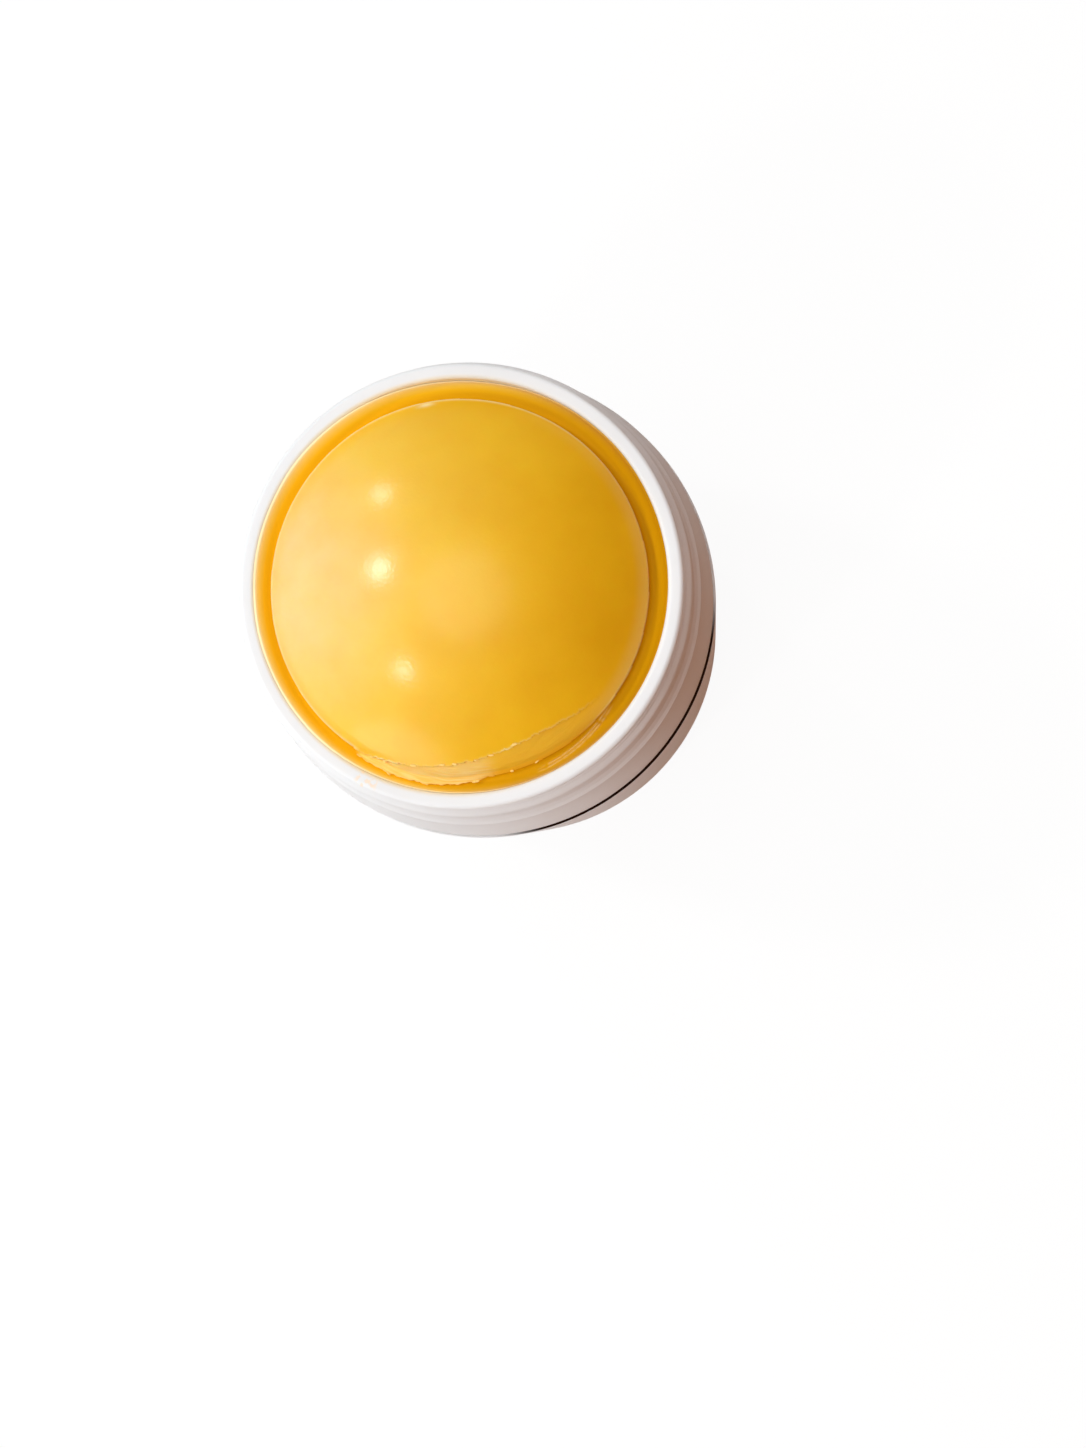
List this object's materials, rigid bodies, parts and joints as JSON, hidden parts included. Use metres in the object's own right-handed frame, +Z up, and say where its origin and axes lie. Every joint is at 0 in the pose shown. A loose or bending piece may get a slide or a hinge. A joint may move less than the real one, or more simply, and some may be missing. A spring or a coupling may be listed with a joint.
{
  "type": "twist-up lotion stick",
  "caption": "Round twist-up stick of solid lotion: a domed balm column rises from its barrel on a lead screw when the base knob is turned.",
  "frame": {"origin": "middle of the base, on the surface that the stick stands on", "axes": "+Z up the stick's axis towards the dome, +X towards one of the barrel's keyways"},
  "size_m": [0.055, 0.055, 0.0776],
  "materials": {
    "white_plastic": "smooth, softly glossy white moulding",
    "acetal": "natural acetal, as moulded",
    "washer": "grey slip washer",
    "clip_steel": "spring steel",
    "wiper": "soft pale elastomer",
    "balm": "waxy golden yellow balm with a satin sheen"
  },
  "bodies": {
    "barrel": {"barrel": "white_plastic", "outer_sleeve": "white_plastic", "friction_washer": "washer"},
    "knob": {"turn_knob": "white_plastic", "base_disc": "white_plastic", "spindle": "acetal", "spindle_clip": "clip_steel"},
    "carriage": {"elevator": "white_plastic", "wiper_ring": "wiper", "balm": "balm"}
  },
  "joints": [
    {"name": "knob_turn", "type": "hinge", "parent": "barrel", "child": "knob", "pos_m": [0, 0, 0], "axis": [0, 0, -1], "range_deg": [0, 2880]},
    {"name": "balm_rise", "type": "slide", "parent": "barrel", "child": "carriage", "axis": [0, 0, 1], "range_m": [0, 0.044]}
  ],
  "couplings": [
    {"joint": "knob_turn", "follows": "balm_rise", "rad_per_m": 1142.4}
  ]
}
